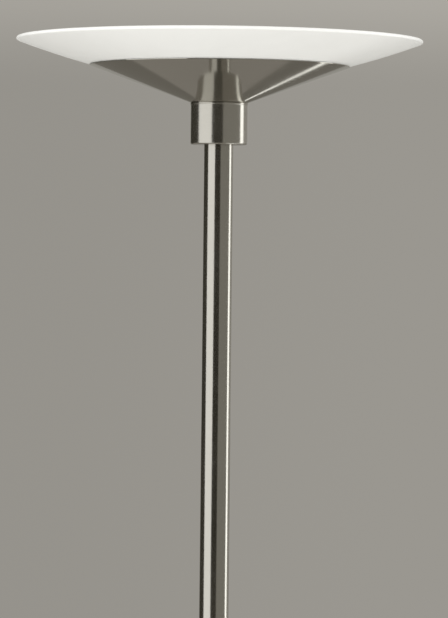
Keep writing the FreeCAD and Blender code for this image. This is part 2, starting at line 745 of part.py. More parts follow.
def raised(shape):
    spot = FreeCAD.Placement(hinge_point(), FreeCAD.Rotation(Y_AXIS, -ARM_RAISE))
    moved = shape.copy()
    moved.Placement = spot.multiply(shape.Placement)
    return moved


def eye(radius, half, x, hole):
    """Round eye across the arm at a distance along it, and the hole through it."""
    disc = placed(rod(radius, -half, half), FreeCAD.Vector(x, 0, 0), Y_AXIS)
    pin = placed(rod(hole, -half - 1, half + 1), FreeCAD.Vector(x, 0, 0), Y_AXIS)
    return disc, pin


def arm_tongue():
    """Flat eye between the clevis ears, a round shoulder and a spigot into the tube."""
    disc, pin = eye(10.0, TONGUE_HALF, 0, PIN_HOLE)
    neck = slab((0, 20), (-TONGUE_HALF, TONGUE_HALF), (-5, 5))
    shoulder = Outline(0, 18).line((TIP_RADIUS - EDGE, 18), (TIP_RADIUS, 18 + EDGE),
                                   (TIP_RADIUS, ARM_TUBE_START),
                                   (ARM_TUBE_BORE - FIT, ARM_TUBE_START),
                                   (ARM_TUBE_BORE - FIT, 40), (0, 40)).turned()
    return disc.fuse([neck, along_arm(shoulder)]).cut(pin).removeSplitter()


def arm_tip():
    """Turned end piece that carries the head's stem."""
    spigot = ARM_TUBE_BORE - FIT
    wire = 2.5
    tip = Outline(wire, TIP_START - 16).line(
        (spigot, TIP_START - 16), (spigot, TIP_START), (TIP_RADIUS - EDGE, TIP_START),
        (TIP_RADIUS, TIP_START + EDGE), (TIP_RADIUS, TIP_END - EDGE), (TIP_RADIUS - EDGE, TIP_END),
        (PIN_HOLE, TIP_END), (PIN_HOLE, TIP_START + 6), (wire, TIP_START + 6)).turned()
    tapped = placed(rod(1.55, 2, 8), FreeCAD.Vector(TIP_SCREW, 0, 0), -Z_AXIS)
    return along_arm(tip).cut(tapped)


def tip_screw():
    """Grub screw from below whose end keeps the stem in its groove."""
    screw = rod(1.5, 2.4, 6.6).cut(hexagon(1.5, 5.4, 7))
    return placed(screw, FreeCAD.Vector(TIP_SCREW, 0, 0), -Z_AXIS)


def head_swivel():
    """Stem that turns in the arm's tip, a flange, and the eye of the head's hinge."""
    groove_half = 1.8
    flange = TIP_END + 0.3
    stem = Outline(0, TIP_START + 7).line(
        (SHAFT_RADIUS, TIP_START + 7), (SHAFT_RADIUS, TIP_SCREW - groove_half),
        (2.2, TIP_SCREW - groove_half), (2.2, TIP_SCREW + groove_half),
        (SHAFT_RADIUS, TIP_SCREW + groove_half), (SHAFT_RADIUS, flange), (TIP_RADIUS, flange),
        (TIP_RADIUS, flange + 2.2), (TIP_RADIUS - 0.8, flange + 3), (0, flange + 3)).turned()
    disc, pin = eye(PIVOT_TONGUE, PIVOT_HALF, ARM_LENGTH, PIVOT_HOLE)
    neck = slab((flange + 2, ARM_LENGTH), (-PIVOT_HALF, PIVOT_HALF), (-5.5, 5.5))
    return along_arm(stem).fuse([neck, disc]).cut(pin).removeSplitter()


def arm_pieces():
    tube = along_arm(ring(ARM_TUBE_BORE, ARM_TUBE_RADIUS, ARM_TUBE_START, TIP_START))
    pieces = {
        "arm_tongue": arm_tongue(),
        "arm_tube": tube,
        "arm_tip": arm_tip(),
        "tip_screw": tip_screw(),
        "head_swivel": head_swivel(),
    }
    return {name: raised(shape) for name, shape in pieces.items()}


# ------------------------------------------------------------------ reading head
# Drawn about its pivot, hanging straight down.
NECK_RADIUS = 11.5
NECK_TOP = 20.0               # pivot down to the neck's top face
NECK_BOTTOM = 54.0
NECK_ROOF = 3.0
READING_SHEET = 1.2
READING_PAN_FACE = 13.4       # heights below are from the neck's bottom face downwards
READING_PAN_RADIUS = 26.0
READING_CONE_RIM = 39.0
STEM_RADIUS = 5.0
READING_CHIP_RINGS = ((8.0, 4), (17.0, 10))


def pivot_point():
    angle = math.radians(ARM_RAISE)
    reach = FreeCAD.Vector(ARM_LENGTH * math.cos(angle), 0, ARM_LENGTH * math.sin(angle))
    return hinge_point() + reach


def reading_neck():
    """Hollow neck with two ears that straddle the head's eye."""
    ear_in = PIVOT_HALF + FIT
    ear_out = 6.6
    ear_half = 6.0
    wall = 1.5
    cup = Outline(SHAFT_RADIUS + FIT, -NECK_TOP).line(
        (NECK_RADIUS - 1.2, -NECK_TOP), (NECK_RADIUS, -NECK_TOP - 1.2), (NECK_RADIUS, -NECK_BOTTOM),
        (NECK_RADIUS - wall, -NECK_BOTTOM), (NECK_RADIUS - wall, -NECK_TOP - NECK_ROOF),
        (SHAFT_RADIUS + FIT, -NECK_TOP - NECK_ROOF)).turned()
    ears = []
    for low, high in ((ear_in, ear_out), (-ear_out, -ear_in)):
        disc = placed(rod(PIVOT_TONGUE, low, high), ORIGIN, Y_AXIS)
        leg = slab((-ear_half, ear_half), (low, high), (-NECK_TOP - 1, 0))
        ears += [disc, leg]
    pin = placed(rod(PIVOT_HOLE, -10, 10), ORIGIN, Y_AXIS)
    return cup.fuse(ears).cut(pin).removeSplitter()


def head_screw():
    """Pivot screw with its nut on the far ear."""
    ear_out = 6.6
    shank = PIVOT_HOLE - FIT
    screw = Outline(0, -ear_out - 3.6).line(
        (shank, -ear_out - 3.6), (shank, ear_out), (3.8, ear_out), (3.8, ear_out + 1.4))
    screw.arc((2.6, ear_out + 1.4), (2.6, ear_out + 2.6))
    screw = screw.line((0, ear_out + 2.6)).turned().cut(hexagon(2.5, ear_out + 1.0, ear_out + 3))
    lock = nut(7.0, shank + THREAD_FIT, -ear_out - 3.2, -ear_out)
    both = Part.makeCompound([screw, lock])
    return placed(both, ORIGIN, Y_AXIS)


def reading_pan():
    """Heat sink on a stem that screws into the roof of the neck."""
    boss_start = READING.flat + READING.wall + 0.6
    roof = NECK_TOP + NECK_ROOF - NECK_BOTTOM
    disc_back = READING_PAN_FACE - 2.2
    return Outline(0, roof - NECK_ROOF + 0.8).line(
        (SHAFT_RADIUS, roof - NECK_ROOF + 0.8), (SHAFT_RADIUS, roof), (STEM_RADIUS, roof),
        (STEM_RADIUS, boss_start), (9.0, boss_start), (9.0, disc_back),
        (READING_PAN_RADIUS - 0.8, disc_back), (READING_PAN_RADIUS, disc_back + 0.8),
        (READING_PAN_RADIUS, READING_PAN_FACE), (0, READING_PAN_FACE)).turned()


def reading_diffuser():
    """Opal cap that snaps over the pan's disc."""
    inner = READING_PAN_RADIUS + FIT
    outer = READING_PAN_RADIUS + 2
    back = READING_PAN_FACE - 2.0
    front = 18.6
    crown = 1.8
    cap = Outline(inner, back).line((outer, back), (outer, front - 1))
    cap.arc((outer - 1, front - 1), (outer - 1, front))
    cap.dome((0, front + crown)).line((0, front)).dome((inner, front - crown))
    return cap.turned()


def reading_washers():
    hole = STEM_RADIUS + 0.1
    bush = ring(hole, 9.0, READING_SHEET, READING.flat)
    top = READING.flat + READING.wall
    return Part.makeCompound([bush, ring(hole, 9.0, top, top + 0.6)])


def reading_pieces():
    board_face = READING_PAN_FACE + 1.2
    below_neck = {
        "reading_cone": READING.cone(foot=NECK_RADIUS, rim=READING_CONE_RIM, sheet=READING_SHEET,
                                     hole=STEM_RADIUS + 0.3, gap=FIT, land=0.4),
        "reading_washers": reading_washers(),
        "reading_glass": READING.glass(),
        "reading_pan": reading_pan(),
        "reading_board": rod(23.0, READING_PAN_FACE, board_face),
        "reading_chips": chips(READING_CHIP_RINGS, board_face),
        "reading_diffuser": reading_diffuser(),
    }
    pieces = {"reading_neck": reading_neck(), "head_screw": head_screw()}
    for name, shape in below_neck.items():
        shape.rotate(ORIGIN, X_AXIS, 180)
        shape.translate(FreeCAD.Vector(0, 0, -NECK_BOTTOM))
        pieces[name] = shape
    for shape in pieces.values():
        shape.translate(pivot_point())
    return pieces


# ------------------------------------------------------------------ the whole lamp
def main():
    os.makedirs("parts", exist_ok=True)
    groups = (base_pieces, pole_pieces, dimmer_pieces, uplight_pieces, swivel_pieces, arm_pieces,
              reading_pieces)
    for group in groups:
        for name, shape in group().items():
            shape.exportStep("parts/" + name + ".step")
            print(name, "solids", len(shape.Solids), "volume", round(shape.Volume, 1),
                  "valid", shape.isValid())


main()
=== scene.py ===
import logging
import math
from dataclasses import dataclass
from enum import Enum
from functools import cache

import bmesh
import bpy
from bmesh.types import BMesh, BMVert
from bpy.types import ID, Collection, Material, Mesh, Node, NodeSocket, NodeTree, Object
from mathutils import Matrix, Vector


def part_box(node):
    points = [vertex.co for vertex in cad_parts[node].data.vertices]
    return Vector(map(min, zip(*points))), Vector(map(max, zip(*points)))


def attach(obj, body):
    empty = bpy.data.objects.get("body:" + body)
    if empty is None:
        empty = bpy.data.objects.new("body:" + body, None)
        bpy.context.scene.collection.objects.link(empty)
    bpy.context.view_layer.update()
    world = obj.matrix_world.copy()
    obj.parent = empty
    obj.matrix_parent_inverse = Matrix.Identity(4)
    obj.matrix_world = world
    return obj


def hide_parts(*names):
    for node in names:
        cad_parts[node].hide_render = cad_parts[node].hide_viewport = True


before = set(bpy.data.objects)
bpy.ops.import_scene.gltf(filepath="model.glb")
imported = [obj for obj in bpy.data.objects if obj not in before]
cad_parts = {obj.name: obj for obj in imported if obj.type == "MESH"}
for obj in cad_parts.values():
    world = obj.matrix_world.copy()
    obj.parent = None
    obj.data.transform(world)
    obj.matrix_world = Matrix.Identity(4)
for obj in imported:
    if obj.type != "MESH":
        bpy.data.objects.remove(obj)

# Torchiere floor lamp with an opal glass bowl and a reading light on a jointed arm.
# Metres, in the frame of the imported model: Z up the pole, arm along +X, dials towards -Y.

LOG = logging.getLogger("floor_lamp")
MM = 0.001
QUARTER_TURN = math.pi / 2
FULL_TURN = 2 * math.pi
ARM_RAISE = math.radians(20)
ORIGIN = (0.0, 0.0, 0.0)
UP = (0.0, 0.0, 1.0)
SHARP_ANGLE = math.radians(32)
EASED_ANGLE = math.radians(35)
FLAT_ANGLE = math.radians(1)
MERGE_TURNED = 0.001 * MM
MERGE_COPIED = 0.002 * MM
DEGENERATE = 0.0001 * MM

Colour = tuple[float, float, float]
Point = tuple[float, float, float]
Section = tuple[float, float]
Step = tuple[Section, Section]


class Axis(Enum):
    """Direction that a turned piece's own axis takes in the lamp."""

    UP = "up"
    DOWN = "down"
    FRONT = "front"
    ARM = "arm"


def linked(name: str, data: ID) -> Object:
    """A new object of the scene that shows the data."""
    shown = bpy.data.objects.new(name, data)
    bpy.context.scene.collection.objects.link(shown)
    return shown


def meshed(name: str, mesh: BMesh) -> Mesh:
    """Mesh data from a bmesh, which is freed."""
    data = bpy.data.meshes.new(name)
    mesh.to_mesh(data)
    mesh.free()
    return data


# ---- wiring of shader nodes
def put(tree: NodeTree, socket: NodeSocket, value: object) -> None:
    """Join a socket to another one, or set its value; a colour gets its alpha here."""
    if isinstance(value, NodeSocket):
        tree.links.new(value, socket)
    elif socket.type == "RGBA":
        socket.default_value = (*value, 1.0)
    else:
        socket.default_value = value


def fill(tree: NodeTree, node: Node, *inputs: object, **named: object) -> Node:
    """Fill a node's inputs with values or with sockets to join.

    Args:
        tree: the node's tree.
        node: the node.
        inputs: for its first inputs, in their order.
        named: for others by name; underscores stand for spaces.

    Returns:
        The node.
    """
    for socket, value in zip(node.inputs, inputs):
        put(tree, socket, value)
    for label, value in named.items():
        put(tree, node.inputs[label.replace("_", " ")], value)
    return node


def wired(tree: NodeTree, kind: str, *inputs: object, **named: object) -> Node:
    """Add a shader node, its kind given without the words ShaderNode, and fill its inputs."""
    return fill(tree, tree.nodes.new("ShaderNode" + kind), *inputs, **named)


def maths(tree: NodeTree, operation: str, *values: object) -> object:
    """Work out a value from others, each a socket or a number."""
    node = wired(tree, "Math", *values)
    node.operation = operation
    return node.outputs[0]


def span(tree: NodeTree, value: object, start: Section = (0.0, 1.0),
         result: Section = (0.0, 1.0), kind: str = "LINEAR") -> object:
    """Map a value from one span to another; beyond it the result stays at its end."""
    node = wired(tree, "MapRange", value, *start, *result)
    node.interpolation_type = kind
    return node.outputs[0]


# ---- shared shader effects
class Effects:
    """Node groups that several finishes share. Each is made once, when first asked for."""

    RING_DRIFT = 30.0
    WIPED = (0.42, 0.72)
    BROAD_SCALE = 0.08
    DUST_FROM = (0.6, 1.0)

    @staticmethod
    def _open(name: str, **inputs: float) -> tuple[NodeTree, object]:
        """Open a node group that takes a place and further values.

        Args:
            name: group name.
            inputs: names of the further inputs and their default values.

        Returns:
            The tree and the sockets that its inputs come in by.
        """
        tree = bpy.data.node_groups.new(name, "ShaderNodeTree")
        tree.interface.new_socket("Place", in_out="INPUT", socket_type="NodeSocketVector")
        for label, value in inputs.items():
            entry = tree.interface.new_socket(label, in_out="INPUT", socket_type="NodeSocketFloat")
            entry.default_value = value
        return tree, tree.nodes.new("NodeGroupInput").outputs

    @staticmethod
    def _close(tree: NodeTree, label: str, value: object) -> NodeTree:
        """Give the group its one output and return it."""
        tree.interface.new_socket(label, in_out="OUTPUT", socket_type="NodeSocketFloat")
        tree.links.new(value, tree.nodes.new("NodeGroupOutput").inputs[label])
        return tree

    @staticmethod
    @cache
    def turning_lines() -> NodeTree:
        """Fine rings left by a lathe or a polishing belt round the local Z axis."""
        tree, given = Effects._open("turning_lines", Pitch=0.4 * MM)
        x, y, z = wired(tree, "SeparateXYZ", given["Place"]).outputs
        squares = [maths(tree, "MULTIPLY", part, part) for part in (x, y)]
        radius = maths(tree, "SQRT", maths(tree, "ADD", *squares))
        across, along = (maths(tree, "DIVIDE", part, given["Pitch"]) for part in (radius, z))
        drift = maths(tree, "MULTIPLY", x, Effects.RING_DRIFT)
        rings = wired(tree, "CombineXYZ", across, along, drift)
        noise = wired(tree, "TexNoise", Vector=rings.outputs[0], Scale=1.0, Detail=3.0)
        return Effects._close(tree, "Lines", noise.outputs[0])

    @staticmethod
    @cache
    def handling_marks() -> NodeTree:
        """Soft smudges where a surface has been wiped and handled."""
        tree, given = Effects._open("handling_marks", Size=30 * MM)
        scale = maths(tree, "DIVIDE", 1.0, given["Size"])
        noise = wired(tree, "TexNoise", Vector=given["Place"], Scale=scale, Detail=4.0,
                      Roughness=0.6, Distortion=0.6)
        return Effects._close(tree, "Mask", span(tree, noise.outputs[0], Effects.WIPED))

    @staticmethod
    @cache
    def grain() -> NodeTree:
        """Even fine grain, as in a casting, a moulding or pressed felt."""
        tree, given = Effects._open("grain", Size=1 * MM, Coarse=0.3)
        scale = maths(tree, "DIVIDE", 1.0, given["Size"])
        wide = maths(tree, "MULTIPLY", scale, Effects.BROAD_SCALE)
        fine = wired(tree, "TexNoise", Vector=given["Place"], Scale=scale, Detail=5.0)
        broad = wired(tree, "TexNoise", Vector=given["Place"], Scale=wide, Detail=2.0)
        mix = wired(tree, "Mix", given["Coarse"], A=fine.outputs[0], B=broad.outputs[0])
        return Effects._close(tree, "Grain", mix.outputs[0])

    @staticmethod
    @cache
    def settled_dust() -> NodeTree:
        """Thin uneven dust on faces that look up."""
        tree, given = Effects._open("settled_dust")
        facing = wired(tree, "NewGeometry").outputs["Normal"]
        up = wired(tree, "SeparateXYZ", facing).outputs[2]
        noise = wired(tree, "TexNoise", Vector=given["Place"], Scale=60.0, Detail=6.0)
        dust = maths(tree, "MULTIPLY", span(tree, up, Effects.DUST_FROM), noise.outputs[0])
        return Effects._close(tree, "Mask", dust)


# ---- finishes
class Recipe:
    """Wires one material's nodes round its shader."""

    def __init__(self, name: str, place: Point = ORIGIN, turn: Point = ORIGIN) -> None:
        """Start a material whose patterns are centred and turned with a Mapping node."""
        self.material = bpy.data.materials.new(name)
        self.material.use_nodes = True
        self.tree = self.material.node_tree
        self.shader = self.tree.nodes["Principled BSDF"]
        where = wired(self.tree, "TexCoord").outputs["Object"]
        mapping = wired(self.tree, "Mapping", where, Location=place, Rotation=turn)
        mapping.vector_type = "TEXTURE"
        self.place = mapping.outputs["Vector"]

    def give(self, **values: object) -> None:
        """Fill inputs of the shader."""
        fill(self.tree, self.shader, **values)

    def effect(self, group: NodeTree, **values: float) -> object:
        """Place a shared effect with its own values.

        Args:
            group: the effect's node group.
            values: input values by socket name.

        Returns:
            The effect's output socket.
        """
        node = self.tree.nodes.new("ShaderNodeGroup")
        node.node_tree = group
        return fill(self.tree, node, Place=self.place, **values).outputs[0]

    def between(self, mask: object, low: float, high: float) -> object:
        """A value that goes from low to high with a mask."""
        return span(self.tree, mask, result=(low, high))

    def blend(self, mask: object, first: object, second: Colour, amount: float = 1.0) -> object:
        """A colour that goes from the first to the second with a mask."""
        node = self.tree.nodes.new("ShaderNodeMix")
        node.data_type = "RGBA"
        for number, value in {0: self.between(mask, 0.0, amount), 6: first, 7: second}.items():
            put(self.tree, node.inputs[number], value)
        return node.outputs[2]

    def bump(self, height: object, depth: float, strength: float) -> None:
        """Raise the surface by a height map of the given depth in metres."""
        node = wired(self.tree, "Bump", Strength=strength, Distance=depth, Height=height)
        self.give(Normal=node.outputs[0])


@dataclass(frozen=True)
class TurnedMetal:
    """Plated metal with the fine rings of its turning and the marks of handling."""

    name: str
    colour: Colour = (0.60, 0.585, 0.54)
    roughness: float = 0.17
    spread: float = 0.03
    pitch: float = 0.35 * MM
    depth: float = 0.002 * MM
    darker: float = 0.88
    smudge: float = 45 * MM
    smudged: float = 0.05
    anisotropy: float = 0.55
    dusty: float = 0.0
    dust: Colour = (0.34, 0.33, 0.31)
    place: Point = ORIGIN
    turn: Point = ORIGIN

    def build(self) -> Material:
        """Make the material."""
        recipe = Recipe(self.name, self.place, self.turn)
        lines = recipe.effect(Effects.turning_lines(), Pitch=self.pitch)
        marks = recipe.effect(Effects.handling_marks(), Size=self.smudge)
        shade = tuple(self.darker * part for part in self.colour)
        tone = recipe.blend(lines, self.colour, shade, amount=0.5)
        if self.dusty:
            dust = recipe.effect(Effects.settled_dust())
            tone = recipe.blend(dust, tone, self.dust, self.dusty)
        turned = recipe.between(lines, self.roughness - self.spread, self.roughness + self.spread)
        rough = maths(recipe.tree, "ADD", turned, recipe.between(marks, 0.0, self.smudged))
        recipe.give(Base_Color=tone, Roughness=rough, Metallic=1.0, Anisotropic=self.anisotropy,
                    Anisotropic_Rotation=0.25)
        if self.anisotropy:
            grooves = wired(recipe.tree, "Tangent")
            grooves.direction_type = "RADIAL"
            grooves.axis = "Z"
            recipe.give(Tangent=grooves.outputs[0])
        recipe.bump(lines, self.depth, strength=0.35)
        return recipe.material


@dataclass(frozen=True)
class OpalGlass:
    """White flashed glass: polished outside, milky within."""

    name: str = "opal_glass"
    colour: Colour = (0.90, 0.905, 0.875)
    darker: float = 0.965
    roughness: float = 0.22
    spread: float = 0.06
    cloud: float = 90 * MM
    wave: float = 25 * MM
    depth: float = 0.06 * MM

    def build(self) -> Material:
        """Make the material."""
        recipe = Recipe(self.name)
        clouds = recipe.effect(Effects.handling_marks(), Size=self.cloud)
        milk = tuple(self.darker * part for part in self.colour)
        recipe.give(Base_Color=recipe.blend(clouds, self.colour, milk), IOR=1.5,
                    Roughness=recipe.between(clouds, self.roughness, self.roughness + self.spread),
                    Specular_IOR_Level=0.2, Subsurface_Weight=0.5, Subsurface_Scale=6 * MM,
                    Subsurface_Radius=(1.0, 1.0, 1.0))
        waves = recipe.effect(Effects.grain(), Size=self.wave, Coarse=0.7)
        recipe.bump(waves, self.depth, strength=0.4)
        return recipe.material


@dataclass(frozen=True)
class Plain:
    """Moulded, cast, coated or pressed material; its grain's size and depth in millimetres."""

    name: str
    colour: Colour
    shade: Colour
    roughness: float
    grain: float
    depth: float
    metallic: float = 0.0
    sheen: float = 0.0
    smudge: float = 30 * MM
    smudged: float = 0.1

    def build(self) -> Material:
        """Make the material."""
        recipe = Recipe(self.name)
        grain = recipe.effect(Effects.grain(), Size=self.grain * MM)
        marks = recipe.effect(Effects.handling_marks(), Size=self.smudge)
        roughest = min(1.0, self.roughness + self.smudged)
        recipe.give(Base_Color=recipe.blend(grain, self.colour, self.shade),
                    Roughness=recipe.between(marks, self.roughness, roughest),
                    Metallic=self.metallic, Sheen_Weight=self.sheen)
        recipe.bump(grain, self.depth * MM, strength=0.6)
        return recipe.material


class Finishes:
    """Every finish of the lamp, built once and looked up by name."""

    TURNED = (
        TurnedMetal("nickel_turned"),
        TurnedMetal("nickel_collar", roughness=0.2),
        TurnedMetal("nickel_spun", roughness=0.075, anisotropy=0.2),
        TurnedMetal("nickel_base", roughness=0.3, dusty=0.35),
        TurnedMetal("nickel_milled", anisotropy=0.0, roughness=0.22),
        TurnedMetal("nickel_arm", anisotropy=0.0, place=(33 * MM, 0.0, 1077 * MM),
                    turn=(0.0, QUARTER_TURN - ARM_RAISE, 0.0)),
        TurnedMetal("nickel_neck", place=(314.9 * MM, 0.0, 0.0)),
        TurnedMetal("nickel_dial", anisotropy=0.0, roughness=0.2, turn=(QUARTER_TURN, 0.0, 0.0)),
        TurnedMetal("zinc_plate", colour=(0.62, 0.63, 0.64), roughness=0.28, anisotropy=0.0),
    )
    PLAIN = (
        Plain("heat_sink", (0.60, 0.60, 0.61), (0.50, 0.50, 0.51), 0.42, 0.8, 0.03, metallic=1.0),
        Plain("cast_iron", (0.035, 0.035, 0.036), (0.02, 0.02, 0.02), 0.62, 1.2, 0.15),
        Plain("felt", (0.03, 0.03, 0.032), (0.012, 0.012, 0.013), 0.95, 0.5, 0.2, sheen=0.4),
        Plain("nylon", (0.022, 0.022, 0.023), (0.03, 0.03, 0.031), 0.45, 0.4, 0.01),
        Plain("rubber", (0.52, 0.52, 0.50), (0.46, 0.46, 0.44), 0.6, 0.5, 0.01),
        Plain("sheath", (0.02, 0.02, 0.02), (0.03, 0.03, 0.03), 0.5, 0.4, 0.01),
        Plain("driver_case", (0.70, 0.70, 0.68), (0.65, 0.65, 0.63), 0.5, 0.5, 0.01),
        Plain("circuit_board", (0.74, 0.75, 0.72), (0.68, 0.69, 0.66), 0.4, 0.6, 0.005),
        Plain("emitter", (0.80, 0.62, 0.16), (0.72, 0.52, 0.10), 0.35, 0.3, 0.005),
        Plain("opal_acrylic", (0.86, 0.86, 0.85), (0.82, 0.82, 0.81), 0.38, 0.9, 0.004),
        Plain("mark_ink", (0.03, 0.03, 0.03), (0.05, 0.05, 0.05), 0.6, 0.3, 0.002),
    )

    def __init__(self) -> None:
        """Build the finishes."""
        kinds = (*self.TURNED, OpalGlass(), *self.PLAIN)
        self.made = {kind.name: kind.build() for kind in kinds}

    def wear(self, piece: Object, name: str) -> None:
        """Give a piece one finish all over."""
        piece.data.materials.clear()
        piece.data.materials.append(self.made[name])


# ---- turned and eased pieces
def verts_in(geometry: list) -> list[BMVert]:
    """The vertices among the geometry that an operator gives back."""
    return [item for item in geometry if isinstance(item, BMVert)]


class Lathe:
    """Draws an outline in the XZ plane, x a radius and z a height, and spins it round Z."""

    def __init__(self, radius: float, height: float) -> None:
        """Start the outline at one corner."""
        self.mesh = bmesh.new()
        self.first = self.mesh.verts.new((radius, 0.0, height))
        self.last = self.first

    def line(self, *corners: Section) -> "Lathe":
        """Draw straight on through these corners."""
        for radius, height in corners:
            corner = self.mesh.verts.new((radius, 0.0, height))
            self.mesh.edges.new((self.last, corner))
            self.last = corner
        return self

    def arc(self, centre: Section, end: Section, steps: int) -> "Lathe":
        """Sweep the present corner about a centre, the short way, to the end.

        Args:
            centre: radius and height of the arc's centre.
            end: where the arc stops; only its direction from the centre counts.
            steps: number of straight pieces.

        Returns:
            The lathe, for further drawing.
        """
        here = math.atan2(self.last.co.z - centre[1], self.last.co.x - centre[0])
        there = math.atan2(end[1] - centre[1], end[0] - centre[0])
        sweep = (there - here + math.pi) % FULL_TURN - math.pi
        swept = bmesh.ops.spin(self.mesh, geom=[self.last], cent=(centre[0], 0.0, centre[1]),
                               axis=(0.0, -1.0, 0.0), angle=sweep, steps=steps)
        self.last = verts_in(swept["geom_last"])[0]
        return self

    def spin(self, steps: int, eased: float = 0.0) -> BMesh:
        """Close the outline, spin it a full turn and merge what meets on the axis.

        Args:
            steps: number of faces round the axis.
            eased: how far its sharp edges are broken.

        Returns:
            The solid, its faces pointing out.
        """
        self.mesh.edges.new((self.last, self.first))
        bmesh.ops.spin(self.mesh, geom=self.mesh.verts[:] + self.mesh.edges[:], cent=ORIGIN,
                       axis=UP, angle=FULL_TURN, steps=steps, use_merge=True)
        bmesh.ops.remove_doubles(self.mesh, verts=self.mesh.verts[:], dist=MERGE_TURNED)
        bmesh.ops.dissolve_degenerate(self.mesh, edges=self.mesh.edges[:], dist=DEGENERATE)
        bmesh.ops.recalc_face_normals(self.mesh, faces=self.mesh.faces[:])
        if eased:
            ease(self.mesh, eased)
        return self.mesh


def ease(mesh: BMesh, width: float) -> None:
    """Round every edge that turns more than the least angle."""
    turned = [edge for edge in mesh.edges
              if edge.is_manifold and edge.calc_face_angle(0.0) > EASED_ANGLE]
    bmesh.ops.bevel(mesh, geom=turned, offset=width, offset_type="OFFSET", segments=2, profile=0.5,
                    affect="EDGES", clamp_overlap=True, material=-1)


def drawn_tube(radius: float, bore: float, low: float, high: float, steps: int,
               eased: float) -> BMesh:
    """A plain tube round the Z axis with eased ends."""
    return Lathe(bore, low).line((radius, low), (radius, high), (bore, high)).spin(steps, eased)


def crown_radius(reach: float, rise: float) -> float:
    """Radius of a shallow crown that rises so far over a circle of that reach."""
    return (reach ** 2 + rise ** 2) / (2 * rise)


def face_along(axis: Axis, point: Point) -> Matrix:
    """Matrix that takes a piece drawn about +Z to a point and a direction."""
    turns = {
        Axis.UP: Matrix.Identity(4),
        Axis.DOWN: Matrix.Rotation(math.pi, 4, "X"),
        Axis.FRONT: Matrix.Rotation(QUARTER_TURN, 4, "X"),
        Axis.ARM: Matrix.Rotation(QUARTER_TURN - ARM_RAISE, 4, "Y"),
    }
    return Matrix.Translation(point) @ turns[axis]


class Bench:
    """Finishes meshes into pieces of the lamp: shading, finish, body and what they replace."""

    def __init__(self, finishes: Finishes) -> None:
        """Keep the finishes at hand."""
        self.finishes = finishes

    def finish(self, mesh: BMesh, name: str, finish: str, *nodes: str, body: str = "stand",
               slot: str = "satin_nickel") -> None:
        """Turn a bmesh into a shown piece.

        Args:
            mesh: the shape, already in place.
            name: object name.
            finish: name of its finish.
            nodes: nodes of the frame that it stands for.
            body: the body that it rides on.
            slot: not used.
        """
        data = meshed(name, mesh)
        data.shade_smooth()
        data.set_sharp_from_angle(angle=SHARP_ANGLE)
        piece = linked(name, data)
        self.finishes.wear(piece, finish)
        weighted = piece.modifiers.new("weighted", "WEIGHTED_NORMAL")
        weighted.keep_sharp = True
        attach(piece, body)
        if nodes:
            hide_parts(*nodes)
        LOG.info("%s: %d faces", name, len(data.polygons))

    @staticmethod
    def _copy(node: str) -> BMesh:
        """The frame's mesh of a node, with its doubles merged."""
        mesh = bmesh.new()
        mesh.from_mesh(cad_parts[node].data)
        bmesh.ops.remove_doubles(mesh, verts=mesh.verts[:], dist=MERGE_COPIED)
        return mesh

    def eased(self, node: str, finish: str, width: float, body: str = "stand",
              slot: str = "satin_nickel") -> None:
        """A smooth copy of a milled or moulded node with its edges broken; it stands for the node.

        Args:
            node: the frame's node.
            finish: name of its finish.
            width: width of the broken edge.
            body: the body that it rides on.
            slot: not used; it is only passed on to finish, which ignores it.
        """
        mesh = self._copy(node)
        bmesh.ops.dissolve_limit(mesh, angle_limit=FLAT_ANGLE, verts=mesh.verts[:],
                                 edges=mesh.edges[:])
        ease(mesh, width)
        self.finish(mesh, node + "_piece", finish, node, body=body, slot=slot)

    def smooth(self, node: str, finish: str, body: str = "stand",
               slot: str = "satin_nickel") -> None:
        """A smooth copy of a node whose edges stay as they are; it stands for the node."""
        self.finish(self._copy(node), node + "_piece", finish, node, body=body, slot=slot)

    def dress(self, **nodes: str) -> None:
        """Give each finish to the frame's own nodes that are listed after it."""
        for finish, listed in nodes.items():
            for node in listed.split():
                self.finishes.wear(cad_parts[node], finish)
            LOG.info("%s on %s", finish, listed)


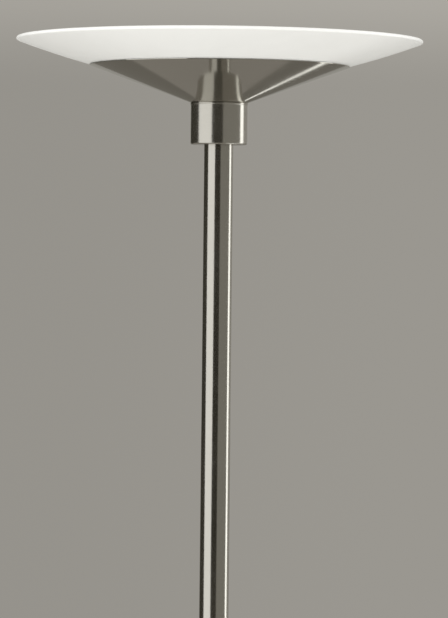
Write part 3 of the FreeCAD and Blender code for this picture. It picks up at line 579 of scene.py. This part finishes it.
# ---- glass and spun cone
@dataclass(frozen=True)
class Dish:
    """Section of a slumped glass dish and of the spun cone that carries it.

    Metres above the collar's face. The underside is a flat middle, a blend and one long bend
    about a centre beyond the lamp's axis.
    """

    radius: float
    wall: float
    hole: float
    flat: float
    blend: float
    bend: float
    centre: Section
    steps: int
    blend_steps: int = 10
    bend_steps: int = 26
    rim_steps: int = 6
    seat_steps: int = 8

    def on_bend(self, radius: float, bend: float) -> Section:
        """Point of a bend at a radius from the lamp's axis."""
        offset = radius - self.centre[0]
        return (radius, self.centre[1] - math.sqrt(bend ** 2 - offset ** 2))

    def blend_centre(self) -> Section:
        """Centre of the blend between the flat middle and the long bend."""
        reach = self.bend - self.blend
        drop = self.centre[1] - self.flat - self.blend
        return (self.centre[0] + math.sqrt(reach ** 2 - drop ** 2), self.flat + self.blend)

    def glass(self) -> BMesh:
        """The glass: flat middle, blend, long bend and a fire-polished round rim."""
        half = self.wall / 2
        blend = self.blend_centre()
        rim = self.on_bend(self.radius - half, self.bend - half)
        away = [(rim[i] - self.centre[i]) / (self.bend - half) for i in (0, 1)]
        tip = (rim[0] - away[1] * half, rim[1] + away[0] * half)
        under, over = ((rim[0] + away[0] * side, rim[1] + away[1] * side) for side in (half, -half))
        join = tuple(2 * blend[i] - self.centre[i] for i in (0, 1))
        lathe = Lathe(self.hole, self.flat).line((blend[0], self.flat))
        lathe.arc(blend, join, self.blend_steps).arc(self.centre, under, self.bend_steps)
        lathe.arc(rim, tip, self.rim_steps).arc(rim, over, self.rim_steps)
        lathe.arc(self.centre, join, self.bend_steps)
        lathe.arc(blend, (blend[0], self.flat), self.blend_steps)
        return lathe.line((self.hole, self.flat + self.wall)).spin(self.steps)

    def cone(self, foot: float, rim: float, sheet: float, gap: float, land: float) -> BMesh:
        """Spun cone from its foot to a seat that follows the glass.

        Args:
            foot: radius at the collar.
            rim: radius of its rim.
            sheet: thickness of its floor.
            gap: room for the gasket under the glass.
            land: height of the rim's edge.

        Returns:
            The cone's mesh.
        """
        seat = self.bend + gap
        seat_tip = self.on_bend(rim, seat)
        slope = math.atan2(seat_tip[1] - land, rim - foot)
        inner = Vector((foot - sheet * math.tan(slope / 2), sheet))
        along = Vector((math.cos(slope), math.sin(slope)))
        offset = inner - Vector(self.centre)
        middle = offset.dot(along)
        reach = -middle - math.sqrt(middle ** 2 + seat ** 2 - offset.length_squared)
        lathe = Lathe(self.hole, 0.0).line((foot, 0.0), (rim, seat_tip[1] - land), seat_tip)
        lathe.arc(self.centre, tuple(inner + along * reach), self.seat_steps)
        return lathe.line(tuple(inner), (self.hole, sheet)).spin(self.steps, eased=0.2 * MM)


# ---- the lamp's sub-assemblies
@dataclass
class UplightHead:
    """Glass dish, spun cone and collar at the pole's top, and the light unit in the bowl."""

    bench: Bench
    dish: Dish = Dish(radius=176.4 * MM, wall=3 * MM, hole=6 * MM, flat=17.5 * MM,
                      blend=120 * MM, bend=744 * MM, centre=(-80.8 * MM, 751.3 * MM), steps=256)
    cone_rim: float = 113.0 * MM
    collar_radius: float = 24.75 * MM
    collar_height: float = 36.2 * MM
    collar_edge: float = 1.0 * MM
    bead: float = 0.4 * MM
    bead_height: float = 1.3 * MM
    pole_seat: float = 12.75 * MM
    seat_depth: float = 26.0 * MM
    nipple: float = 5.02 * MM
    pan_radius: float = 70.0 * MM
    pan_top: float = 42.0 * MM
    cover_foot: float = 39.5 * MM
    cover_edge: float = 67.8 * MM
    crown_reach: float = 65.0 * MM
    crown: float = 3.0 * MM
    clip_foot: float = 39.0 * MM
    clip_radius: float = 71.5 * MM
    clip_bore: float = 66.0 * MM
    clip_edge: float = 1.0 * MM
    clip_inner_edge: float = 0.6 * MM
    fit: float = 0.05 * MM

    def place(self, mesh: BMesh) -> BMesh:
        """Lift a mesh drawn from the collar's face to its height in the lamp."""
        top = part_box("head_collar")[1].z
        bmesh.ops.translate(mesh, verts=mesh.verts[:], vec=(0.0, 0.0, top))
        return mesh

    def collar(self) -> None:
        """Turned collar with a chamfered foot, a fine bead at its top and a seat for the pole."""
        low = -self.collar_height
        edge = self.collar_edge
        radius = self.collar_radius
        proud = radius + self.bead
        mesh = Lathe(self.pole_seat, low).line(
            (radius - edge, low), (radius, low + edge), (radius, -self.bead_height - self.bead),
            (proud, -self.bead_height), (proud, -self.bead), (radius, 0.0), (self.nipple, 0.0),
            (self.nipple, low + self.seat_depth),
            (self.pole_seat, low + self.seat_depth)).spin(steps=128, eased=0.25 * MM)
        self.bench.finish(self.place(mesh), "collar_turned", "nickel_collar", "head_collar")

    def shell(self) -> None:
        """Spun cone and the glass dish on it."""
        cone = self.dish.cone(self.collar_radius, self.cone_rim, sheet=1.5 * MM, gap=0.4 * MM,
                              land=0.6 * MM)
        self.bench.finish(self.place(cone), "cone_spun", "nickel_spun", "head_cone")
        self.bench.finish(self.place(self.dish.glass()), "dish_glass", "opal_glass", "glass_dish",
                          slot="opal_glass")

    def light_unit(self) -> None:
        """Opal cover with its clip ring, over the finned pan."""
        top = self.pan_top
        rise = self.crown
        under = self.cover_foot + rise - crown_radius(self.crown_reach, rise)
        over = under + top - self.cover_foot
        cover = Lathe(0.0, self.cover_foot + rise)
        cover.arc((0.0, under), (self.crown_reach, self.cover_foot), steps=24)
        cover.line((self.cover_edge, self.cover_foot), (self.cover_edge, top),
                   (self.crown_reach, top))
        mesh = cover.arc((0.0, over), (0.0, top + rise), steps=24).spin(steps=128, eased=0.3 * MM)
        self.bench.finish(self.place(mesh), "bowl_diffuser", "opal_acrylic", "uplight_diffuser",
                          slot="opal_acrylic")
        inside = self.pan_radius + self.fit
        lip = top + 2 * self.clip_edge
        ring = Lathe(self.clip_bore, top).line(
            (inside, top), (inside, self.clip_foot), (self.clip_radius, self.clip_foot),
            (self.clip_radius, lip - self.clip_edge), (self.clip_radius - self.clip_edge, lip),
            (self.clip_bore + self.clip_inner_edge, lip),
            (self.clip_bore, lip - self.clip_inner_edge)).spin(steps=128, eased=0.25 * MM)
        self.bench.finish(self.place(ring), "clip_ring", "nickel_turned", "diffuser_ring")

    def build(self) -> None:
        """Make the head's pieces and dress the nodes inside it."""
        self.collar()
        self.shell()
        self.light_unit()
        for node in ("led_pan", "pan_ring"):
            self.bench.smooth(node, "heat_sink", slot="heat_sink")
        self.bench.dress(rubber="rim_gasket glass_washers", zinc_plate="head_nipple board_screws",
                         circuit_board="led_board", emitter="led_chips")


@dataclass
class Pole:
    """Three screwed tubes, their inner plugs and threads, and the stop collar."""

    bench: Bench
    radius: float = 12.7 * MM
    wall: float = 1.5 * MM
    easing: float = 0.3 * MM
    tubes: tuple[str, ...] = ("lower_tube", "middle_tube", "upper_tube")

    def tube(self, node: str) -> None:
        """One length of tube with eased ends."""
        low, high = (corner.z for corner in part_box(node))
        mesh = drawn_tube(self.radius, self.radius - self.wall, low, high, 128, eased=self.easing)
        self.bench.finish(mesh, node + "_drawn", "nickel_turned", node)

    def build(self) -> None:
        """Make the tubes and dress what joins them."""
        for node in self.tubes:
            self.tube(node)
        self.bench.eased("stop_collar", "nickel_turned", width=0.2 * MM)
        self.bench.smooth("swivel_washers", "nylon", slot="nylon")
        self.bench.dress(zinc_plate="tube_plugs pole_stud joining_nipples locknuts stop_screw",
                         sheath="pole_lead")


@dataclass
class Base:
    """Spun cover over a cast weight on a felt pad, with the cord gland at the back."""

    bench: Bench
    collar_radius: float = 24.75 * MM
    pole_hole: float = 12.75 * MM
    collar_edge: float = 1.0 * MM

    def collar(self) -> None:
        """Turned collar round the pole's foot."""
        low, high = (corner.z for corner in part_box("base_collar"))
        edge = self.collar_edge
        radius = self.collar_radius
        mesh = Lathe(self.pole_hole, low).line(
            (radius - edge, low), (radius, low + edge), (radius, high - edge),
            (radius - edge, high), (self.pole_hole, high)).spin(steps=128, eased=0.25 * MM)
        self.bench.finish(mesh, "foot_collar", "nickel_collar", "base_collar")

    def build(self) -> None:
        """Make the base's pieces."""
        self.collar()
        self.bench.smooth("base_cover", "nickel_base")
        self.bench.smooth("cord_gland", "nylon", slot="nylon")
        self.bench.dress(nylon="gland_nut", cast_iron="base_weight", felt="base_pad",
                         zinc_plate="base_washer", driver_case="led_driver")


@dataclass
class DimmerHousing:
    """Sleeve between two caps on the pole, with two rotary dimmers and their dial marks."""

    bench: Bench
    radius: float = 19.0 * MM
    wall: float = 1.8 * MM
    skirt: float = 12.0 * MM
    depth: float = 18.0 * MM
    taper: float = 2.0 * MM
    nipple: float = 5.02 * MM
    marks: int = 11
    sweep: float = 280.0
    mark_from: float = 10.8 * MM
    mark_to: float = 12.8 * MM
    mark_width: float = 0.5 * MM
    mark_extra: float = 0.7 * MM
    mark_depth: float = 0.08 * MM
    mark_height: float = 0.12 * MM
    fit: float = 0.05 * MM

    def cap(self, node: str, axis: Axis, seat: float) -> None:
        """End cap, drawn with its outer face at zero and its spigot along +Z."""
        spigot = self.radius - self.wall - self.fit
        mesh = Lathe(self.nipple, 0.0).line(
            (self.radius - self.taper, 0.0), (self.radius, self.taper), (self.radius, self.skirt),
            (spigot, self.skirt), (spigot, self.depth),
            (self.nipple, self.depth)).spin(steps=96, eased=0.25 * MM)
        bmesh.ops.transform(mesh, matrix=face_along(axis, (0.0, 0.0, seat)), verts=mesh.verts[:])
        self.bench.finish(mesh, node + "_turned", "nickel_turned", node)

    def sleeve(self) -> None:
        """Plain sleeve between the caps."""
        low, high = (corner.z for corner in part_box("dimmer_sleeve"))
        mesh = drawn_tube(self.radius, self.radius - self.wall, low, high, 96, eased=0.2 * MM)
        self.bench.finish(mesh, "housing_sleeve", "nickel_turned", "dimmer_sleeve")

    def scale(self, dial: str) -> None:
        """Short inlaid marks round a dial, wrapped on the sleeve."""
        low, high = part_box(dial + "_knob")
        centre = (low.z + high.z) / 2
        marks = bmesh.new()
        for step in range(self.marks):
            angle = math.radians(self.sweep * (step / (self.marks - 1) - 0.5))
            reach = self.mark_to + (self.mark_extra if step in (0, self.marks - 1) else 0.0)
            size = Matrix.Diagonal((self.mark_width / 2, (reach - self.mark_from) / 2, 1.0, 1.0))
            out = Matrix.Translation((0.0, (self.mark_from + reach) / 2, 0.0))
            turn = Matrix.Rotation(-angle, 4, "Z")
            bmesh.ops.create_grid(marks, x_segments=2, y_segments=3, size=1.0,
                                  matrix=turn @ out @ size)
        solid = bmesh.ops.extrude_face_region(marks, geom=marks.faces[:])
        bmesh.ops.translate(marks, verts=verts_in(solid["geom"]), vec=(0.0, 0.0, self.mark_height))
        bmesh.ops.recalc_face_normals(marks, faces=marks.faces[:])
        bmesh.ops.transform(marks, matrix=face_along(Axis.FRONT, (0.0, 0.0, centre)),
                            verts=marks.verts[:])
        for corner in marks.verts:
            corner.co.y -= math.sqrt((self.radius - self.mark_depth) ** 2 - corner.co.x ** 2)
        self.bench.finish(marks, dial + "_marks", "mark_ink")

    def build(self) -> None:
        """Make the housing, its knobs and marks."""
        self.cap("dimmer_bottom_cap", Axis.UP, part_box("dimmer_bottom_cap")[0].z)
        self.cap("dimmer_top_cap", Axis.DOWN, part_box("dimmer_top_cap")[1].z)
        self.sleeve()
        for dial in ("uplight", "reading"):
            self.scale(dial)
            self.bench.eased(dial + "_knob", "nickel_dial", 0.15 * MM, dial + "_dial",
                             "dark_nickel")
        self.bench.smooth("dimmer_nuts", "zinc_plate", slot="zinc_steel")
        self.bench.dress(zinc_plate="uplight_shaft reading_shaft dimmer_pots",
                         circuit_board="dimmer_board")


@dataclass
class Swivel:
    """Ring with a clevis that turns on the pole, its hinge pin and the locking knob."""

    bench: Bench
    easing: float = 0.4 * MM

    def build(self) -> None:
        """Make the ring, pin and knob with broken edges."""
        self.bench.eased("swivel_ring", "nickel_milled", self.easing, "swivel")
        self.bench.eased("hinge_bolt", "zinc_plate", 0.15 * MM, "swivel", "zinc_steel")
        self.bench.smooth("hinge_washers", "nylon", "swivel", "nylon")
        self.bench.eased("lock_knob", "nickel_dial", 0.2 * MM, "arm_lock", "dark_nickel")


@dataclass
class ReadingArm:
    """Tongue, tube and tip of the arm, and the stem that turns in the tip."""

    bench: Bench
    radius: float = 6.0 * MM
    bore: float = 4.8 * MM
    start: float = 24.0 * MM
    end: float = 258.0 * MM
    hinge: Point = (33.0 * MM, 0.0, 1077.0 * MM)

    def tube(self) -> None:
        """Slim drawn tube, raised with the arm."""
        mesh = drawn_tube(self.radius, self.bore, self.start, self.end, 64, eased=0.2 * MM)
        bmesh.ops.transform(mesh, matrix=face_along(Axis.ARM, self.hinge), verts=mesh.verts[:])
        self.bench.finish(mesh, "arm_tube_drawn", "nickel_arm", "arm_tube", body="arm")

    def build(self) -> None:
        """Make the arm's pieces."""
        self.tube()
        for node, body, width in (("arm_tongue", "arm", 0.3 * MM), ("arm_tip", "arm", 0.15 * MM),
                                  ("head_swivel", "head_joint", 0.25 * MM)):
            self.bench.eased(node, "nickel_milled", width, body)
        self.bench.dress(zinc_plate="tip_screw")


@dataclass
class ReadingHead:
    """Small glass shade on a spun cone and neck, with its own light unit."""

    bench: Bench
    dish: Dish = Dish(radius=59.99 * MM, wall=2.5 * MM, hole=6 * MM, flat=4.8 * MM,
                      blend=32 * MM, bend=156 * MM, centre=(-9.2 * MM, 159 * MM), steps=160)
    neck_radius: float = 11.5 * MM
    cone_rim: float = 39.0 * MM
    pan_radius: float = 26.0 * MM
    cap_back: float = 11.4 * MM
    cap_front: float = 18.6 * MM
    cap_wall: float = 2.0 * MM
    cap_edge: float = 1.0 * MM
    crown: float = 1.8 * MM
    fit: float = 0.05 * MM

    def place(self, mesh: BMesh) -> BMesh:
        """Turn a mesh drawn upwards to hang from the neck's lower face."""
        low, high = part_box("reading_neck")
        spot = ((low.x + high.x) / 2, (low.y + high.y) / 2, low.z)
        bmesh.ops.transform(mesh, matrix=face_along(Axis.DOWN, spot), verts=mesh.verts[:])
        return mesh

    def shade(self) -> None:
        """Spun cone and glass shade."""
        cone = self.dish.cone(self.neck_radius, self.cone_rim, sheet=1.2 * MM, gap=0.05 * MM,
                              land=0.4 * MM)
        self.bench.finish(self.place(cone), "shade_cone", "nickel_spun", "reading_cone",
                          body="reading_head")
        self.bench.finish(self.place(self.dish.glass()), "shade_glass", "opal_glass",
                          "reading_glass", body="reading_head", slot="opal_glass")

    def diffuser(self) -> None:
        """Opal cap that snaps over the pan."""
        inner = self.pan_radius + self.fit
        outer = self.pan_radius + self.cap_wall
        edge = outer - self.cap_edge
        front = self.cap_front
        rise = self.crown
        under = front - crown_radius(inner, rise)
        over = front + rise - crown_radius(edge, rise)
        cap = Lathe(inner, self.cap_back)
        cap.line((outer, self.cap_back), (outer, front - self.cap_edge))
        cap.arc((edge, front - self.cap_edge), (edge, front), steps=5)
        cap.arc((0.0, over), (0.0, front + rise), steps=16).line((0.0, front))
        mesh = cap.arc((0.0, under), (inner, front - rise), steps=16).spin(steps=128)
        self.bench.finish(self.place(mesh), "shade_diffuser", "opal_acrylic", "reading_diffuser",
                          body="reading_head", slot="opal_acrylic")

    def build(self) -> None:
        """Make the reading head's pieces."""
        self.shade()
        self.diffuser()
        self.bench.eased("reading_neck", "nickel_neck", 0.3 * MM, "reading_head")
        self.bench.eased("head_screw", "zinc_plate", 0.1 * MM, "reading_head", "zinc_steel")
        self.bench.smooth("reading_pan", "heat_sink", "reading_head", "heat_sink")
        self.bench.dress(rubber="reading_washers", circuit_board="reading_board",
                         emitter="reading_chips")


# ---- studio
@dataclass(frozen=True)
class Card:
    """Curved reflector round the lamp that only polished surfaces see.

    Angles are seen from the lamp, in degrees from the camera's side, clockwise from above
    being negative. The card runs straight from its foot's radius and height to its head's.
    """

    name: str
    first: float
    last: float
    light: Colour
    low: float = 0.6
    high: float = 2.4
    foot: float = 2.5
    head: float = 2.5
    steps: int = 24

    def mesh(self) -> BMesh:
        """Its upright edge, swept from the first angle to the last."""
        mesh = bmesh.new()
        start = math.radians(self.first) - QUARTER_TURN
        foot, head = (
            mesh.verts.new((radius * math.cos(start), radius * math.sin(start), height))
            for radius, height in ((self.foot, self.low), (self.head, self.high)))
        edge = mesh.edges.new((foot, head))
        bmesh.ops.spin(mesh, geom=[foot, head, edge], cent=ORIGIN, axis=UP,
                       angle=math.radians(self.last - self.first), steps=self.steps)
        return mesh


@dataclass(frozen=True)
class Panel:
    """Upright flat reflector close behind the lamp, which the spun cone sees."""

    name: str
    left: float
    right: float
    low: float
    high: float
    light: Colour
    depth: float = 2.0

    def mesh(self) -> BMesh:
        """One face across the panel."""
        mesh = bmesh.new()
        size = Matrix.Diagonal(((self.right - self.left) / 2, (self.high - self.low) / 2, 1.0, 1.0))
        middle = ((self.left + self.right) / 2, self.depth, (self.low + self.high) / 2)
        place = Matrix.Translation(middle) @ Matrix.Rotation(QUARTER_TURN, 4, "X") @ size
        bmesh.ops.create_grid(mesh, x_segments=1, y_segments=1, size=1.0, matrix=place)
        return mesh


@dataclass(frozen=True)
class SoftLight:
    """Square light that lights the object but shows in no reflection."""

    name: str
    spot: Point
    aim: Point
    size: float
    watts: float
    spares_floor: bool = False


ON_FLOOR = {"low": 4 * MM, "high": 4 * MM, "foot": 0.5}


@dataclass
class Studio:
    """World, floor, soft lights, reflectors and the camera.

    The world's three steps each run over a part of the view's direction, upwards or across,
    and take the backdrop's strength from one share to another.
    """

    unlit: Collection
    backdrop: Colour = (0.312, 0.298, 0.270)
    lighter_up: Step = ((0.048, 0.080), (1.0, 1.28))
    ceiling: Step = ((0.35, 0.8), (1.0, 2.2))
    lighter_across: Step = ((-0.06, 0.06), (0.97, 1.035))
    ambient: float = 0.89
    ambient_tone: Colour = (1.0, 0.99, 0.97)
    floor_radius: float = 8.0
    floor_sides: int = 96
    floor_fade: Section = (0.35, 0.95)
    floor_tone: Colour = (0.74, 0.73, 0.71)
    floor_gloss: Colour = (0.268, 0.250, 0.222)
    focal_pixels: float = 3500.0
    sensor: float = 36.0
    frame_height: float = 618.0
    farthest: float = 100.0
    eye: Point = (0.0, -3.0421, 1.6078)
    pitch: float = -0.0139
    roll: float = 0.0106
    yaw: float = 0.0020
    reflectors: tuple[Card | Panel, ...] = (
        Card("card_left_back", -180, -89, (0.045, 0.042, 0.032)),
        Card("card_softbox", -89, -28.5, (1.06, 1.05, 1.02), low=-0.2),
        Card("card_front", -28.5, 16, (0.032, 0.029, 0.021)),
        Card("card_right", 16, 97, (0.240, 0.230, 0.202)),
        Card("card_strip", 97, 117, (1.85, 1.85, 1.80), low=-0.2),
        Card("floor_softbox", -89, -28.5, (0.74, 0.73, 0.70), **ON_FLOOR),
        Card("floor_front", -28.5, 16, (0.10, 0.094, 0.078), **ON_FLOOR),
        Card("floor_strip", 97, 117, (1.15, 1.15, 1.10), **ON_FLOOR),
        Panel("panel_top", -0.9, 0.9, 1.36, 2.4, (0.320, 0.310, 0.280)),
        Panel("panel_wall", -0.9, 0.9, 0.26, 1.36, (0.172, 0.161, 0.139)),
        Panel("panel_base", -0.9, 0.9, 0.0, 0.26, (0.268, 0.250, 0.222)),
        Panel("panel_base_left", -0.9, 0.0, 0.26, 0.50, (0.268, 0.250, 0.222), depth=1.996),
        Panel("panel_streak", 0.2, 0.9, 0.725, 0.865, (0.42, 0.41, 0.37), depth=1.996),
        Panel("panel_line", 0.2, 0.9, 0.757, 0.828, (1.50, 1.49, 1.41), depth=1.992),
    )
    lights: tuple[SoftLight, ...] = (
        SoftLight("overhead", (0.2, 0.4, 4.2), (0.0, 0.0, 1.2), 2.6, 5.0),
        SoftLight("key", (-2.6, -2.4, 2.6), (0.0, 0.0, 1.4), 1.6, 9.0),
        SoftLight("low_left", (-3.6, -2.0, 0.3), (0.0, 0.0, 1.7), 2.4, 92.0, spares_floor=True),
        SoftLight("low_right", (3.6, -2.0, 0.3), (0.0, 0.0, 1.7), 2.4, 94.0, spares_floor=True),
    )

    def world(self) -> None:
        """Backdrop, lighter above and to the right, under a pale ceiling; even light from all."""
        world = bpy.data.worlds.new("studio_world")
        world.use_nodes = True
        bpy.context.scene.world = world
        tree = world.node_tree
        even = fill(tree, tree.nodes["Background"], self.ambient_tone, self.ambient)
        way = wired(tree, "TexCoord").outputs["Generated"]
        across, _, up = wired(tree, "SeparateXYZ", way).outputs
        strength = span(tree, up, *self.lighter_up, "SMOOTHSTEP")
        for part, step in ((up, self.ceiling), (across, self.lighter_across)):
            strength = maths(tree, "MULTIPLY", strength, span(tree, part, *step, "SMOOTHSTEP"))
        seen = wired(tree, "Background", self.backdrop, strength)
        ray = wired(tree, "LightPath").outputs
        seeing = maths(tree, "MAXIMUM", ray["Is Camera Ray"], ray["Is Glossy Ray"])
        seeing = maths(tree, "MAXIMUM", seeing, ray["Is Transmission Ray"])
        mix = wired(tree, "MixShader", seeing, even.outputs[0], seen.outputs[0])
        fill(tree, tree.nodes["World Output"], Surface=mix.outputs[0])

    @staticmethod
    def _stand(name: str, mesh: BMesh, material: Material) -> Object:
        """Make an object of the studio, whose material's glow isn't sampled as a light."""
        material.cycles.emission_sampling = "NONE"
        data = meshed(name, mesh)
        data.materials.append(material)
        return linked(name, data)

    def floor(self) -> None:
        """Round pale floor that fades into the backdrop at its edge, plain in reflections."""
        recipe = Recipe("floor_paint")
        tree = recipe.tree
        away = wired(tree, "VectorMath", recipe.place)
        away.operation = "LENGTH"
        start, end = (share * self.floor_radius for share in self.floor_fade)
        fade = span(tree, away.outputs["Value"], (start, end), (1.0, 0.0))
        recipe.give(Base_Color=self.floor_tone, Roughness=0.9, Specular_IOR_Level=0.1, Alpha=fade)
        gloss = wired(tree, "Emission", self.floor_gloss)
        mirrored = wired(tree, "LightPath").outputs["Is Glossy Ray"]
        mix = wired(tree, "MixShader", mirrored, recipe.shader.outputs[0], gloss.outputs[0])
        fill(tree, tree.nodes["Material Output"], Surface=mix.outputs[0])
        mesh = bmesh.new()
        bmesh.ops.create_circle(mesh, cap_ends=True, radius=self.floor_radius,
                                segments=self.floor_sides)
        plane = self._stand("floor", mesh, recipe.material)
        self.unlit.objects.link(plane)
        self.unlit.collection_objects[0].light_linking.link_state = "EXCLUDE"

    def reflect(self, shape: Card | Panel) -> None:
        """Hang a reflector that only polished surfaces see."""
        material = bpy.data.materials.new(shape.name)
        material.use_nodes = True
        tree = material.node_tree
        tree.nodes.remove(tree.nodes["Principled BSDF"])
        glow = wired(tree, "Emission", shape.light)
        fill(tree, tree.nodes["Material Output"], Surface=glow.outputs[0])
        card = self._stand(shape.name, shape.mesh(), material)
        card.visible_camera = card.visible_diffuse = card.visible_transmission = False
        card.visible_volume_scatter = card.visible_shadow = False

    def light(self, soft: SoftLight) -> None:
        """Hang a soft light and point it."""
        lamp = bpy.data.lights.new(soft.name, "AREA")
        lamp.size = soft.size
        lamp.energy = soft.watts
        holder = linked(soft.name, lamp)
        holder.location = soft.spot
        away = Vector(soft.spot) - Vector(soft.aim)
        holder.rotation_euler = away.to_track_quat("Z", "Y").to_euler()
        holder.visible_glossy = holder.visible_camera = False
        if soft.spares_floor:
            holder.light_linking.receiver_collection = self.unlit

    def camera(self) -> None:
        """Camera at the photograph's viewing angle."""
        lens = bpy.data.cameras.new("camera")
        lens.lens = self.focal_pixels * self.sensor / self.frame_height
        lens.sensor_width = self.sensor
        lens.clip_end = self.farthest
        view = linked("camera", lens)
        turn = Matrix.Rotation(-self.yaw, 4, "Z") @ Matrix.Rotation(
            QUARTER_TURN + self.pitch, 4, "X") @ Matrix.Rotation(self.roll, 4, "Z")
        view.matrix_world = Matrix.Translation(self.eye) @ turn
        bpy.context.scene.camera = view

    def build(self) -> None:
        """Set up the studio."""
        self.world()
        self.floor()
        for shape in self.reflectors:
            self.reflect(shape)
        for soft in self.lights:
            self.light(soft)
        self.camera()
        bpy.context.scene.view_settings.view_transform = "Standard"


def main() -> None:
    """Build the lamp, sub-assembly by sub-assembly, then the studio."""
    logging.basicConfig(level=logging.INFO, format="%(name)s: %(message)s")
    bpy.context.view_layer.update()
    bench = Bench(Finishes())
    for assembly in (UplightHead, Pole, Base, DimmerHousing, Swivel, ReadingArm, ReadingHead):
        LOG.info("building %s", assembly.__name__)
        assembly(bench).build()
    Studio(bpy.data.collections.new("spared_by_low_lights")).build()


if __name__ == "__main__":
    main()
